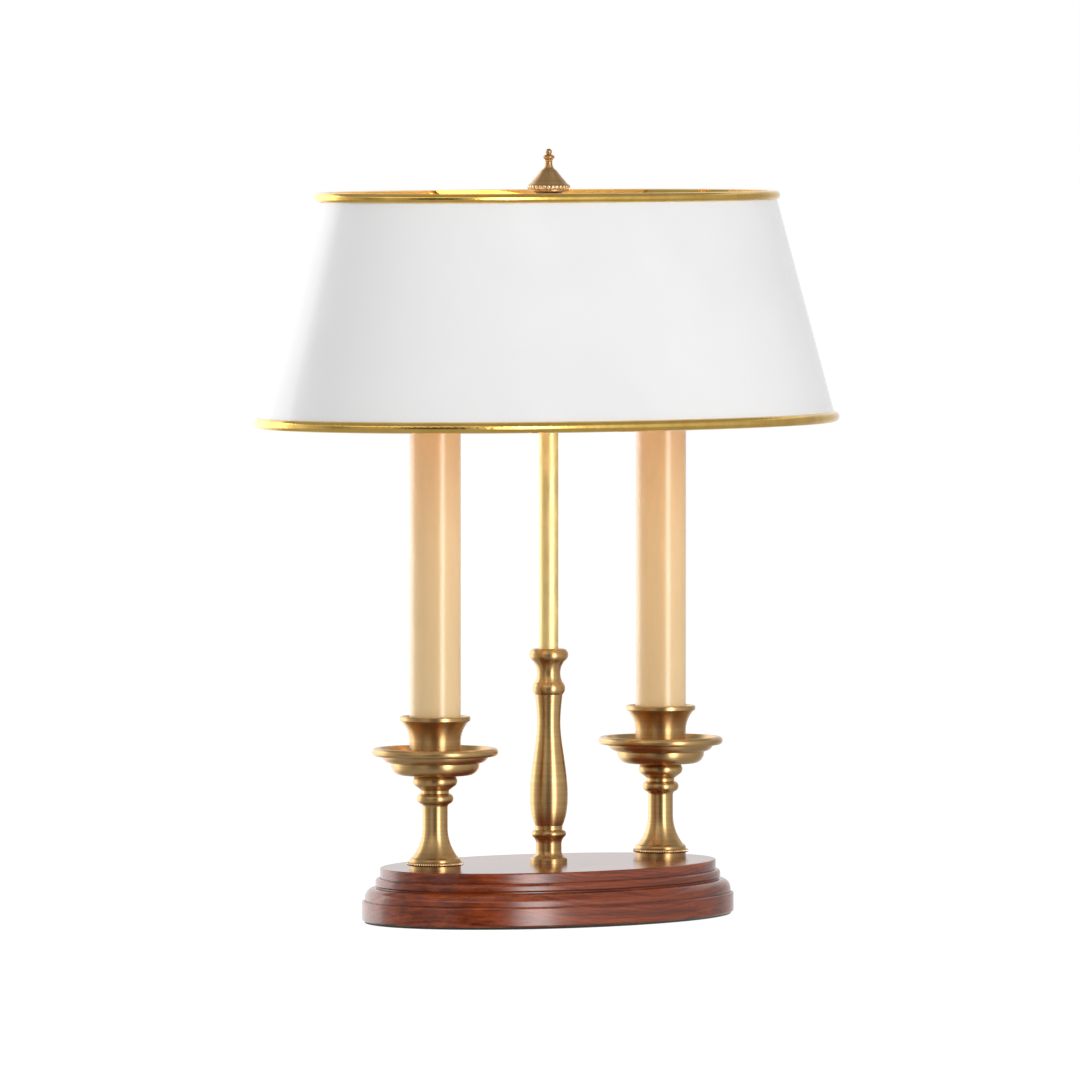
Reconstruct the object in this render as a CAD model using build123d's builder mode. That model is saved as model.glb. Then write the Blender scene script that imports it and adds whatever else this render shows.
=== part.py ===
from build123d import *
import os
from math import sqrt

# Oval table lamp with two candlesticks. A moulded wooden base carries two turned brass
# candlesticks and, between them, a turned baluster with a polished pole. The pole holds an
# oval sheet-metal shade on a cross-armed spider, clamped by a screwed finial.
#
# Frame: origin at the centre of the felt's underside, +Z up, X along the base's long axis,
# the switch and the cord's bushing on the +Y side, which is the back. Sizes are millimetres.

# ---------------------------------------------------------------- clearances
fit_gap = 0.05  # radial gap of a thread, spigot or shaft in its bore
bore_gap = 0.25  # radial gap of a rod in wood or turned brass
sleeve_gap = 0.1  # radial gap of a candle tube in its cup
trim_gap = 0.15  # gap each side of the sheet in a trim's slot
ring_gap = 0.15  # gap between the spider's ring and the sheet
turn_gap = 0.3  # gap below a piece that turns on its seat

# ---------------------------------------------------------------- wooden base and felt
base_length = 284.0
base_width = 190.0
felt_thickness = 1.2
felt_inset = 2.0
plinth_height = 13.2
ovolo_height = 8.6
bead_height = 6.3
board_height = 6.7
ovolo_inset = 2.0
bead_inset = 8.9
board_inset = 11.9
plinth_round = 1.3
ovolo_round = 6.6
bead_round = 2.4
bead_under_round = 1.2
board_round = 1.0
quirk = 0.6  # depth and height of the groove between two tiers
moulding_depth = 18.0
core_overlap = 3.0
pocket_radius = 18.0
pocket_depth = 22.8
channel_width = 13.0
channel_depth = 12.6
cord_wall = 12.0  # wood that the cord's bushing runs through
bore_start = 1.0  # how far outside the plinth's side the two bores are begun

# ---------------------------------------------------------------- lead wires and connectors
lead_width = 5.0
lead_thickness = 2.4
lead_rest_gap = 0.1  # a connector lies this far above the felt
lead_end_gap = 0.3  # from a lead's upper end to the socket's insulating body
connector_radius = 4.6
connector_tip_radius = 3.2
connector_length = 16.0
connector_wall = 1.6
connector_bore_depth = 9.0
connector_place = 40.0  # from the lamp's axis to a connector's open end

# ---------------------------------------------------------------- threaded rods and nuts
rod_radius = 4.85  # 1/8 IP lamp pipe
rod_bore_radius = 3.2
rod_tail = 3.0  # rod below its nut
nut_across_flats = 14.3
nut_thickness = 4.8
washer_radius = 12.7
washer_thickness = 1.6

# ---------------------------------------------------------------- candlesticks
candle_offset = 100.5  # from the lamp's axis to each candlestick's axis
stick_height = 62.3
foot_radius = 17.0
foot_height = 2.7
foot_ring_radius = 17.9  # the round that carries a ring of beads
foot_ring_height = 2.6
shoulder_radius = 15.3
shoulder_height = 2.9
shoulder_bulge = 0.35  # how far the shoulder's middle lies inside the foot's edge
shaft_radius = 8.33
flare_height = 28.0
collar_radius = 9.4
collar_drop = 18.9  # each drop is measured down from the pan's underside
collar_height = 2.3
lower_knop_radius = 12.1
lower_knop_drop = 11.9
neck_radius = 9.25
upper_knop_radius = 14.65
upper_knop_drop = 10.0
upper_knop_height = 9.6
upper_knop_flare = 3.1  # height of the cone under the upper knop
upper_knop_edge = 1.2  # the cone stops this far inside the knop's widest circle
upper_knop_cap = 1.9  # and the flat on its top this far

# ---------------------------------------------------------------- drip pans
pan_wall = 2.4
pan_bowl_radius = 29.1
pan_bowl_height = 8.1
pan_bowl_round = 7.0
pan_step_radius = 35.3
pan_step_height = 4.6
pan_rim_radius = 41.5
pan_rim_height = 5.0
pan_rim_round = 1.6
pan_lip = 3.2  # width of the rim's flat top
dish_swell = 0.9  # height of the dish's middle above its step
dish_wall = 1.0  # extra wall in the bowl's corner
dish_corner = 2.6  # height of that corner's middle above the dish's floor
pan_step_out = 1.2  # the step's foot lies this far outside the bowl, and the dish's inside it
pan_cove = 1.5  # how far the cove under the rim is drawn in

# ---------------------------------------------------------------- candle cups
cup_neck = 0.15  # how much slimmer than the candle tube the cup's neck is
cup_straight = 19.3
cup_flare = 5.4  # how far the cup flares out from its neck
cup_flare_height = 13.7
cup_rim_edge = 0.95  # how far the rim stands out from the flare
cup_rim_height = 3.3
cup_rim_round = 0.8
cup_lip = 1.6
cup_seat_drop = 8.0  # from the cup's top down to the candle tube's seat
cup_guide = 1.5  # straight bore above the seat, before it opens to the lip
cup_recess_radius = 13.0
cup_recess_depth = 13.0

# ---------------------------------------------------------------- candle tubes
tube_radius = 17.05
tube_wall = 1.5
tube_length = 225.0

# ---------------------------------------------------------------- sockets and bulbs
socket_radius = 14.6
socket_wall = 1.1
socket_height = 40.0
socket_drop = 1.5  # from the tube's top down to the socket's top
socket_cap_height = 12.0
socket_hub_radius = 7.5
socket_hub_height = 9.0
rod_in_hub = 7.0
screw_shell_radius = 13.4
screw_shell_wall = 0.2
screw_shell_height = 25.0
screw_shell_drop = 2.0  # from the socket's top down to the screw shell's top
contact_radius = 4.0
contact_hole_radius = 1.0
contact_thickness = 1.0
bulb_base_radius = 13.1
bulb_base_height = 21.0
bulb_tip_radius = 5.0
bulb_tip_height = 3.0
bulb_base_step = 1.5  # each step of the insulator between tip and screw base
bulb_neck_radius = 12.6
bulb_radius = 17.5
bulb_length = 74.0
bulb_swell = 12.0  # height over which the neck swells
bulb_point_radius = 5.0  # round of the glass's tip
bulb_wall = 1.0

# ---------------------------------------------------------------- baluster and pole
baluster_height = 142.0
baluster_foot_radius = 12.3
baluster_foot_height = 3.8
baluster_foot_round = 1.2
vase_neck_radius = 8.5
vase_neck_bottom = 8.2  # heights above the baluster's foot
vase_neck_top = 12.8
vase_ring_radius = 11.6
vase_ring_bottom = 17.4
vase_ring_height = 4.2
vase_ring_round = 1.2
vase_foot = 24.8
vase_radius = 12.66
vase_waist_radius = 7.8
vase_lip = 1.4  # how far the vase's top flares out from its waist
vase_drop = 30.2  # drops below the baluster's top
throat_ring_radius = 10.9
throat_ring_drop = 26.2
throat_foot_drop = 22.2
throat_radius = 7.7
throat_drop = 15.6
throat_flare = 1.6  # how far the throat's ends flare out
throat_top_drop = 10.0
baluster_collar_radius = 12.95
baluster_collar_drop = 7.2
baluster_collar_edge = 1.3  # the collar's foot lies this far inside its edge
baluster_collar_cap = 2.2  # and the flat on its top this far
pole_gap = 0.3  # radial gap round the rod inside the pole
pole_wall = 1.2
pole_length = 292.3
plug_spigot = 8.0
plug_seat_radius = 8.5
plug_seat_thickness = 2.0
stud_radius = 3.17  # 1/4-27 finial thread
stud_reach = 6.5  # stud above the spider's hub

# ---------------------------------------------------------------- shade
shade_bottom_length = 443.5  # over the sheet
shade_top_length = 359.9
shade_top_width = 210.7  # the sheet flares alike all round, so the bottom width follows
shade_height = 151.6
shade_sheet = 0.9
shade_above_hub = 4.0
trim_reach = 2.6
trim_lip = 1.0
trim_lip_height = 3.4
trim_cap = 1.2
top_trim_height = 6.3
bottom_trim_height = 7.0
hub_radius = 15.0
hub_thickness = 3.0
arm_radius = 1.4
ring_thickness = 1.6
ring_height = 6.0

# ---------------------------------------------------------------- finial
finial_height = 33.2  # all heights are measured from the finial's foot
finial_base_radius = 7.5
finial_base_height = 1.6
skirt_bottom = 5.1
skirt_rim_radius = 13.3
skirt_rim_height = 1.3
skirt_radius = 14.0  # the round that carries a ring of beads
skirt_top = 9.4
bell_foot_radius = 13.2
bell_middle_radius = 10.7
bell_middle = 12.0
bell_shoulder_radius = 7.9
bell_shoulder = 15.3
neck_foot_radius = 3.45
neck_foot = 20.1
neck_radius_top = 2.3
neck_middle = 24.4
finial_collar_radius = 3.8
finial_collar_bottom = 25.8
finial_collar_top = 29.5
tip_radius = 2.1
insert_radius = 4.4
insert_height = 12.0

# ---------------------------------------------------------------- switch and cord bushing
side_hole_height = 7.9  # height of both axes above the floor
switch_offset = -46.0
switch_wall = 8.0
switch_width = 18.0
switch_depth = 15.0
switch_height = 10.6
switch_pocket_gap = 3.0
switch_thread_radius = 4.8
switch_thread_reach = 3.4
switch_nut_radius = 6.1
switch_nut_thickness = 2.2
switch_nut_chamfer = 0.5
shaft_pin_radius = 3.0
shaft_pin_reach = 12.0
knob_radius = 5.9
knob_length = 11.0
knob_standoff = 4.4
knob_flutes = 14
knob_flute_radius = 0.5
bushing_flange_radius = 6.2
bushing_flange_thickness = 2.0
bushing_radius = 4.8
cord_bore_radius = 3.3

# ---------------------------------------------------------------- places that follow
base_half_length = base_length / 2
base_half_width = base_width / 2
plinth_top = felt_thickness + plinth_height
ovolo_top = plinth_top + ovolo_height
bead_top = ovolo_top + bead_height
base_top = bead_top + board_height
pocket_top = felt_thickness + pocket_depth
washer_bottom = pocket_top - washer_thickness
nut_bottom = washer_bottom - nut_thickness
rod_bottom = nut_bottom - rod_tail
rod_hole_radius = rod_radius + bore_gap

cup_radius = tube_radius - cup_neck
cup_flare_radius = cup_radius + cup_flare
cup_rim_radius = cup_flare_radius + cup_rim_edge
pole_radius = rod_radius + pole_gap + pole_wall

pan_bottom = base_top + stick_height
pan_floor = pan_bottom + pan_wall
cup_top = pan_floor + cup_straight + cup_flare_height + cup_rim_height
cup_seat = cup_top - cup_seat_drop
cup_recess_floor = cup_seat - cup_recess_depth
tube_top = cup_seat + tube_length
socket_top = tube_top - socket_drop
socket_bottom = socket_top - socket_height
cap_bottom = socket_bottom - socket_cap_height
hub_bottom = cap_bottom - socket_hub_height
stick_rod_top = hub_bottom + rod_in_hub

pole_bottom = base_top + baluster_height
pole_top = pole_bottom + pole_length
seat_top = pole_top + plug_seat_thickness
hub_top = seat_top + hub_thickness
shade_top = hub_top + shade_above_hub
shade_bottom = shade_top - shade_height
taper = (shade_bottom_length - shade_top_length) / 2 / shade_height
slant = Vector(-taper, 0, 1).normalized()
sheet_across = shade_sheet / slant.Z  # the sheet's thickness measured level

sides = {"left": -candle_offset, "right": candle_offset}

os.makedirs("parts", exist_ok=True)


def keep(builder, name):
    """Labels a finished piece and writes its STEP file."""
    builder.part.label = name
    export_step(builder.part, f"parts/{name}.step")


def half_plane(x=0.0):
    """Plane of a turned piece's half profile: x is the radius, y the height above the floor."""
    return Plane.XZ.shift_origin((x, 0, 0))


def lathe(x=0.0):
    """Revolves the half profile about the vertical axis at x."""
    revolve(axis=Axis((x, 0, 0), (0, 0, 1)))


def round_tube(name, x, outer, inner, bottom, height):
    """Round tube or washer that stands at the height given as bottom."""
    with BuildPart() as piece:
        with BuildSketch(Plane.XY.offset(bottom)):
            with Locations((x, 0)):
                Circle(outer)
                Circle(inner, mode=Mode.SUBTRACT)
        extrude(amount=height)
    keep(piece, name)


def hex_nut(name, x, bottom):
    """Hexagon nut on a rod."""
    with BuildPart() as piece:
        with BuildSketch(Plane.XY.offset(bottom)):
            with Locations((x, 0)):
                RegularPolygon(nut_across_flats / 2, 6, major_radius=False)
                Circle(rod_radius + fit_gap, mode=Mode.SUBTRACT)
        extrude(amount=nut_thickness)
    keep(piece, name)


def side_plane(x):
    """Plane on the base's back side at x: z points out of the wood and y points up."""
    y = base_half_width * sqrt(1 - (x / base_half_length) ** 2)
    out = Vector(x / base_half_length**2, y / base_half_width**2, 0).normalized()
    return Plane((x, y, side_hole_height), x_dir=(-out.Y, out.X, 0), z_dir=out)


# ================================================================ base
switch_plane = side_plane(switch_offset)
cord_plane = side_plane(0)
switch_centre = switch_plane.origin - switch_plane.z_dir * (switch_wall + switch_depth / 2)

with BuildPart() as wood_base:
    with BuildLine() as plinth_outline:
        EllipticalCenterArc((0, 0), base_half_length, base_half_width, start_angle=0, arc_size=360)
    # half section of the moulded edge; x is measured outwards from the plinth's side
    inner = -moulding_depth
    with BuildSketch(Plane.XZ.shift_origin((base_half_length, 0, 0))):
        with BuildLine():
            Line((inner, felt_thickness), (-plinth_round, felt_thickness))
            RadiusArc(
                (-plinth_round, felt_thickness), (0, felt_thickness + plinth_round), -plinth_round
            )
            Line((0, felt_thickness + plinth_round), (0, plinth_top - plinth_round))
            RadiusArc((0, plinth_top - plinth_round), (-plinth_round, plinth_top), -plinth_round)
            Polyline(
                (-plinth_round, plinth_top),
                (-ovolo_inset - quirk, plinth_top),
                (-ovolo_inset - quirk, plinth_top + quirk),
                (-ovolo_inset, plinth_top + quirk),
                (-ovolo_inset, ovolo_top - ovolo_round),
            )
            RadiusArc(
                (-ovolo_inset, ovolo_top - ovolo_round),
                (-ovolo_inset - ovolo_round, ovolo_top),
                -ovolo_round,
            )
            Polyline(
                (-ovolo_inset - ovolo_round, ovolo_top),
                (-bead_inset - bead_under_round, ovolo_top),
                (-bead_inset - bead_under_round, ovolo_top + quirk),
            )
            RadiusArc(
                (-bead_inset - bead_under_round, ovolo_top + quirk),
                (-bead_inset, ovolo_top + quirk + bead_under_round),
                -bead_under_round,
            )
            Line(
                (-bead_inset, ovolo_top + quirk + bead_under_round), (-bead_inset, bead_top - bead_round)
            )
            RadiusArc(
                (-bead_inset, bead_top - bead_round), (-bead_inset - bead_round, bead_top), -bead_round
            )
            Polyline(
                (-bead_inset - bead_round, bead_top),
                (-board_inset - quirk, bead_top),
                (-board_inset - quirk, bead_top + quirk),
                (-board_inset, bead_top + quirk),
                (-board_inset, base_top - board_round),
            )
            RadiusArc(
                (-board_inset, base_top - board_round),
                (-board_inset - board_round, base_top),
                -board_round,
            )
            Polyline((-board_inset - board_round, base_top), (inner, base_top), (inner, felt_thickness))
        make_face()
    sweep(path=plinth_outline.wire())
    core_inset = moulding_depth - core_overlap
    with BuildSketch(Plane.XY.offset(felt_thickness)):
        Ellipse(base_half_length - core_inset, base_half_width - core_inset)
    extrude(amount=base_top - felt_thickness)
    # counterbored pockets for the nuts, from below
    pocket_places = [(x, 0) for x in (-candle_offset, 0, candle_offset)]
    with BuildSketch(Plane.XY.offset(felt_thickness)):
        with Locations(*pocket_places):
            Circle(pocket_radius)
    extrude(amount=pocket_depth, mode=Mode.SUBTRACT)
    # wiring channels: along the base, back to the cord's hole, and to the switch
    with BuildSketch(Plane.XY.offset(felt_thickness)):
        Rectangle(2 * candle_offset, channel_width)
        with Locations((0, (base_half_width - cord_wall) / 2)):
            Rectangle(channel_width, base_half_width - cord_wall)
        with Locations((switch_offset / 2, switch_centre.Y)):
            Rectangle(-switch_offset, channel_width)
        with Locations(Location(Plane((switch_centre.X, switch_centre.Y, 0), x_dir=switch_plane.x_dir))):
            Rectangle(switch_width + 2 * switch_pocket_gap, switch_depth)
    extrude(amount=channel_depth, mode=Mode.SUBTRACT)
    with BuildSketch(Plane.XY.offset(pocket_top)):
        with Locations(*pocket_places):
            Circle(rod_hole_radius)
    extrude(amount=base_top - pocket_top, mode=Mode.SUBTRACT)
    # bores for the cord's bushing and the switch, begun clear of the curved side
    with BuildSketch(cord_plane.offset(bore_start)):
        Circle(bushing_radius + fit_gap)
    extrude(amount=-bore_start - cord_wall - channel_width / 2, mode=Mode.SUBTRACT)
    with BuildSketch(switch_plane.offset(bore_start)):
        Circle(switch_thread_radius + fit_gap)
    extrude(amount=-bore_start - switch_wall - switch_depth / 2, mode=Mode.SUBTRACT)
keep(wood_base, "wood_base")

with BuildPart() as felt_pad:
    with BuildSketch():
        Ellipse(base_half_length - felt_inset, base_half_width - felt_inset)
    extrude(amount=felt_thickness)
keep(felt_pad, "felt_pad")


# ================================================================ rods, washers and nuts
def base_fastening(side, x, rod_top):
    """Threaded rod with the washer and nut that pull it down against its pocket."""
    round_tube(f"{side}_rod", x, rod_radius, rod_bore_radius, rod_bottom, rod_top - rod_bottom)
    thread_hole = rod_radius + fit_gap
    round_tube(f"{side}_washer", x, washer_radius, thread_hole, washer_bottom, washer_thickness)
    hex_nut(f"{side}_nut", x, nut_bottom)


def lead(side, x):
    """Twin lead from the socket down the rod, round into the channel and on to its connector."""
    away = 1 if x > 0 else -1
    run_height = felt_thickness + lead_rest_gap + connector_radius
    bend = rod_bottom - run_height
    run_end = away * (connector_place - connector_bore_depth + lead_end_gap)
    with BuildPart() as wires:
        with BuildLine() as route:
            Line((x, 0, socket_bottom - lead_end_gap), (x, 0, rod_bottom))
            corner = (x - away * bend, 0, run_height)
            TangentArc((x, 0, rod_bottom), corner, tangent=(0, 0, -1))
            Line(corner, (run_end, 0, run_height))
        with BuildSketch(Plane.XY.offset(socket_bottom - lead_end_gap)):
            with Locations((x, 0)):
                SlotOverall(lead_width, lead_thickness, rotation=90)
        sweep(path=route.wire())
    keep(wires, f"{side}_lead")


def connector(side, x):
    """Twist-on connector that lies in the channel over the end of a lead."""
    away = 1 if x > 0 else -1
    height = felt_thickness + lead_rest_gap + connector_radius
    mouth = Plane((away * connector_place, 0, height), x_dir=(0, 1, 0), z_dir=(-away, 0, 0))
    with BuildPart() as cap:
        with BuildSketch(mouth):
            Circle(connector_radius)
        with BuildSketch(mouth.offset(connector_length)):
            Circle(connector_tip_radius)
        loft()
        with BuildSketch(mouth):
            Circle(connector_radius - connector_wall)
        extrude(amount=connector_bore_depth, mode=Mode.SUBTRACT)
    keep(cap, f"{side}_connector")


# ================================================================ candlesticks
def candlestick(side, x):
    """Foot disc, ring, flared stem and two knops, turned in one piece."""
    ring_bottom = base_top + foot_height
    ring_top = ring_bottom + foot_ring_height
    shoulder_top = ring_top + shoulder_height
    shaft_top = pan_bottom - collar_drop - collar_height
    collar_top = pan_bottom - collar_drop
    knop_top = pan_bottom - lower_knop_drop
    upper_bottom = pan_bottom - upper_knop_drop
    knop_cap = upper_knop_radius - upper_knop_cap
    shoulder_middle = (foot_radius - shoulder_bulge, ring_top + 0.65 * shoulder_height)
    with BuildPart() as stick:
        with BuildSketch(half_plane(x)):
            with BuildLine():
                Polyline(
                    (rod_hole_radius, base_top), (foot_radius, base_top), (foot_radius, ring_bottom)
                )
                ThreePointArc(
                    (foot_radius, ring_bottom),
                    (foot_ring_radius, (ring_bottom + ring_top) / 2),
                    (foot_radius, ring_top),
                )
                ThreePointArc((foot_radius, ring_top), shoulder_middle, (shoulder_radius, shoulder_top))
                TangentArc(
                    (shaft_radius, base_top + flare_height),
                    (shoulder_radius, shoulder_top),
                    tangent=(0, -1),
                )
                Line((shaft_radius, base_top + flare_height), (shaft_radius, shaft_top))
                TangentArc((shaft_radius, shaft_top), (collar_radius, collar_top), tangent=(0, 1))
                ThreePointArc(
                    (collar_radius, collar_top),
                    (lower_knop_radius, (collar_top + knop_top) / 2),
                    (neck_radius, knop_top),
                )
                Line((neck_radius, knop_top), (neck_radius, upper_bottom))
                knop_side = (upper_knop_radius - upper_knop_edge, upper_bottom + upper_knop_flare)
                Line((neck_radius, upper_bottom), knop_side)
                ThreePointArc(
                    knop_side,
                    (upper_knop_radius, upper_bottom + 0.56 * upper_knop_height),
                    (knop_cap, upper_bottom + upper_knop_height),
                )
                Polyline(
                    (knop_cap, upper_bottom + upper_knop_height),
                    (knop_cap, pan_bottom),
                    (rod_hole_radius, pan_bottom),
                    (rod_hole_radius, base_top),
                )
            make_face()
        lathe(x)
    keep(stick, f"{side}_candlestick")


def drip_pan(side, x):
    """Bowl, stepped cove and rolled rim, with a dish of the same shape inside."""
    bowl_top = pan_bottom + pan_bowl_height
    step_top = bowl_top + pan_step_height
    rim_top = step_top + pan_rim_height
    bowl_foot = pan_bowl_radius - pan_bowl_round
    step_foot = pan_bowl_radius + pan_step_out
    rim_edge = pan_rim_radius - pan_rim_round
    dish_lip = rim_edge - pan_lip
    dish_step = pan_bowl_radius - pan_step_out
    with BuildPart() as pan:
        with BuildSketch(half_plane(x)):
            with BuildLine():
                Line((rod_hole_radius, pan_bottom), (bowl_foot, pan_bottom))
                RadiusArc(
                    (bowl_foot, pan_bottom),
                    (pan_bowl_radius, pan_bottom + pan_bowl_round),
                    -pan_bowl_round,
                )
                Polyline(
                    (pan_bowl_radius, pan_bottom + pan_bowl_round),
                    (pan_bowl_radius, bowl_top),
                    (step_foot, bowl_top),
                )
                ThreePointArc(
                    (step_foot, bowl_top),
                    (pan_step_radius - pan_cove, bowl_top + 0.42 * pan_step_height),
                    (pan_step_radius, step_top),
                )
                Line((pan_step_radius, step_top), (rim_edge, step_top))
                ThreePointArc(
                    (rim_edge, step_top),
                    (pan_rim_radius, (step_top + rim_top) / 2),
                    (rim_edge, rim_top),
                )
                Line((rim_edge, rim_top), (dish_lip, rim_top))
                ThreePointArc(
                    (dish_lip, rim_top),
                    (pan_step_radius - pan_wall, step_top + dish_swell),
                    (dish_step, bowl_top + pan_wall),
                )
                ThreePointArc(
                    (dish_step, bowl_top + pan_wall),
                    (pan_bowl_radius - pan_wall - dish_wall, pan_floor + dish_corner),
                    (bowl_foot - dish_wall, pan_floor),
                )
                Polyline(
                    (bowl_foot - dish_wall, pan_floor),
                    (rod_hole_radius, pan_floor),
                    (rod_hole_radius, pan_bottom),
                )
            make_face()
        lathe(x)
    keep(pan, f"{side}_drip_pan")


def candle_cup(side, x):
    """Straight cup that flares to a rim, bored for the candle tube and the lock nut."""
    flare_bottom = pan_floor + cup_straight
    flare_top = flare_bottom + cup_flare_height
    rim_in = cup_rim_radius - cup_lip
    tube_hole = tube_radius + sleeve_gap
    with BuildPart() as cup:
        with BuildSketch(half_plane(x)):
            with BuildLine():
                Polyline(
                    (rod_hole_radius, cup_recess_floor),
                    (rod_hole_radius, pan_floor),
                    (cup_radius, pan_floor),
                    (cup_radius, flare_bottom),
                )
                TangentArc((cup_radius, flare_bottom), (cup_flare_radius, flare_top), tangent=(0, 1))
                Polyline(
                    (cup_flare_radius, flare_top),
                    (cup_rim_radius - cup_rim_round, flare_top),
                )
                RadiusArc(
                    (cup_rim_radius - cup_rim_round, flare_top),
                    (cup_rim_radius, flare_top + cup_rim_round),
                    -cup_rim_round,
                )
                Line((cup_rim_radius, flare_top + cup_rim_round), (cup_rim_radius, cup_top - cup_rim_round))
                RadiusArc(
                    (cup_rim_radius, cup_top - cup_rim_round),
                    (cup_rim_radius - cup_rim_round, cup_top),
                    -cup_rim_round,
                )
                Line((cup_rim_radius - cup_rim_round, cup_top), (rim_in, cup_top))
                TangentArc((tube_hole, cup_seat + cup_guide), (rim_in, cup_top), tangent=(0, 1))
                Polyline(
                    (tube_hole, cup_seat + cup_guide),
                    (tube_hole, cup_seat),
                    (cup_recess_radius, cup_seat),
                    (cup_recess_radius, cup_recess_floor),
                    (rod_hole_radius, cup_recess_floor),
                )
            make_face()
        lathe(x)
    keep(cup, f"{side}_candle_cup")


def candle_tube(side, x):
    with BuildPart() as tube:
        with BuildSketch(Plane.XY.offset(cup_seat)):
            with Locations((x, 0)):
                Circle(tube_radius)
                Circle(tube_radius - tube_wall, mode=Mode.SUBTRACT)
        extrude(amount=tube_length)
        fillet(tube.edges().group_by(Axis.Z)[-1], tube_wall / 3)
    keep(tube, f"{side}_candle_tube")


def socket(side, x):
    """Threaded cap on the rod, insulating body, screw shell and centre contact."""
    cap_inside = socket_radius - socket_wall
    cap_floor = cap_bottom + socket_wall
    with BuildPart() as cap:
        with BuildSketch(half_plane(x)):
            with BuildLine():
                Polyline(
                    (rod_radius + fit_gap, hub_bottom),
                    (socket_hub_radius, hub_bottom),
                    (socket_hub_radius, cap_bottom),
                    (cap_inside, cap_bottom),
                )
                RadiusArc((cap_inside, cap_bottom), (socket_radius, cap_floor), -socket_wall)
                Polyline(
                    (socket_radius, cap_floor),
                    (socket_radius, socket_bottom),
                    (cap_inside, socket_bottom),
                    (cap_inside, cap_floor),
                    (rod_radius + fit_gap, cap_floor),
                    (rod_radius + fit_gap, hub_bottom),
                )
            make_face()
        lathe(x)
    keep(cap, f"{side}_socket_cap")
    shell_top = socket_top - screw_shell_drop
    shell_bottom = shell_top - screw_shell_height
    shelf = shell_bottom - contact_thickness
    with BuildPart() as body:
        with BuildSketch(Plane.XY.offset(socket_bottom)):
            with Locations((x, 0)):
                Circle(socket_radius)
        extrude(amount=socket_height)
        with BuildSketch(Plane.XY.offset(shelf)):
            with Locations((x, 0)):
                Circle(screw_shell_radius + fit_gap)
        extrude(amount=socket_top - shelf, mode=Mode.SUBTRACT)
    keep(body, f"{side}_socket_body")
    shell_inside = screw_shell_radius - screw_shell_wall
    round_tube(
        f"{side}_screw_shell", x, screw_shell_radius, shell_inside, shell_bottom, screw_shell_height
    )
    round_tube(
        f"{side}_centre_contact", x, contact_radius, contact_hole_radius, shelf, contact_thickness
    )
    return shelf + contact_thickness


def bulb(side, x, bottom):
    """Torpedo bulb: screw base with its contact tip, and glass that swells above the tube."""
    base_bottom = bottom + bulb_tip_height
    glass_bottom = base_bottom + bulb_base_height
    with BuildPart() as base:
        with BuildSketch(half_plane(x)):
            Polygon(
                (0, bottom),
                (bulb_tip_radius, bottom),
                (bulb_tip_radius + bulb_base_step, base_bottom),
                (bulb_base_radius - bulb_base_step, base_bottom + bulb_base_step),
                (bulb_base_radius, base_bottom + 2 * bulb_base_step),
                (bulb_base_radius, glass_bottom),
                (0, glass_bottom),
                align=None,
            )
        lathe(x)
    keep(base, f"{side}_bulb_base")
    with BuildPart() as glass:
        for wall, mode in ((0, Mode.ADD), (bulb_wall, Mode.SUBTRACT)):
            neck = (bulb_neck_radius - wall, glass_bottom)
            swell = ((bulb_neck_radius + bulb_radius) / 2 - wall, glass_bottom + bulb_swell)
            belly = (bulb_radius - wall, glass_bottom + 0.38 * bulb_length)
            shoulder = (0.62 * bulb_radius - wall, glass_bottom + 0.8 * bulb_length)
            flame = (0.47 * bulb_radius - wall, glass_bottom + 0.9 * bulb_length)
            point = bulb_point_radius - wall
            tip = (0, glass_bottom + bulb_length - wall)
            tip_side = (0.8 * point, tip[1] - 0.4 * point)
            with BuildSketch(half_plane(x)):
                with BuildLine():
                    Line((0, glass_bottom), neck)
                    TangentArc(neck, swell, tangent=(0, 1))
                    ThreePointArc(swell, belly, shoulder)
                    ThreePointArc(shoulder, flame, tip_side)
                    RadiusArc(tip_side, tip, -point)
                    Line(tip, (0, glass_bottom))
                make_face()
            revolve(axis=Axis((x, 0, 0), (0, 0, 1)), mode=mode)
    keep(glass, f"{side}_bulb_glass")


for side, x in sides.items():
    base_fastening(side, x, stick_rod_top)
    lead(side, x)
    connector(side, x)
    candlestick(side, x)
    drip_pan(side, x)
    candle_cup(side, x)
    hex_nut(f"{side}_cup_nut", x, cup_recess_floor)
    candle_tube(side, x)
    bulb(side, x, socket(side, x))

# ================================================================ baluster and pole
base_fastening("centre", 0, pole_top - plug_spigot)

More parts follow.
